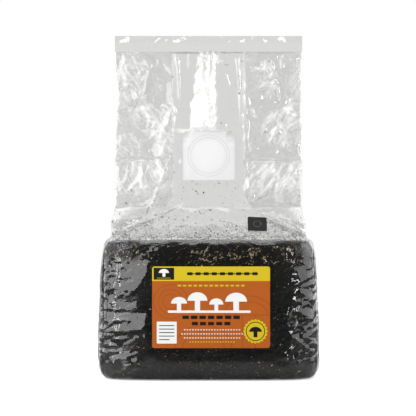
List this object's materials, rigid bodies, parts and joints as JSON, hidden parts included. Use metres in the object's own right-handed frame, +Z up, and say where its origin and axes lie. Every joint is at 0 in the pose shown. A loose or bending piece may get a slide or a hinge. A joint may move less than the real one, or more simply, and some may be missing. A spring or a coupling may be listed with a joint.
{
  "type": "mushroom grow bag",
  "caption": "Clear side-gusseted film bag sealed over a packed block of dark substrate, with a welded filter patch, a rubber injection port and a front label.",
  "frame": {"origin": "middle of the flat base, under the middle of the block", "axes": "+Z up through the block to the heat seal, +X across the labelled front to the right as seen from the front, -Y out of the labelled front"},
  "size_m": [0.2383, 0.1181, 0.3697],
  "materials": {
    "film": "clear, thin and wrinkled",
    "substrate": "packed, damp, granular",
    "filter": "matt microporous sheet",
    "port": "satin",
    "label": "satin print"
  },
  "bodies": {
    "root": {"bag_film": "film", "substrate_block": "substrate", "filter_patch": "filter", "injection_port": "port", "label": "label"}
  },
  "joints": []
}
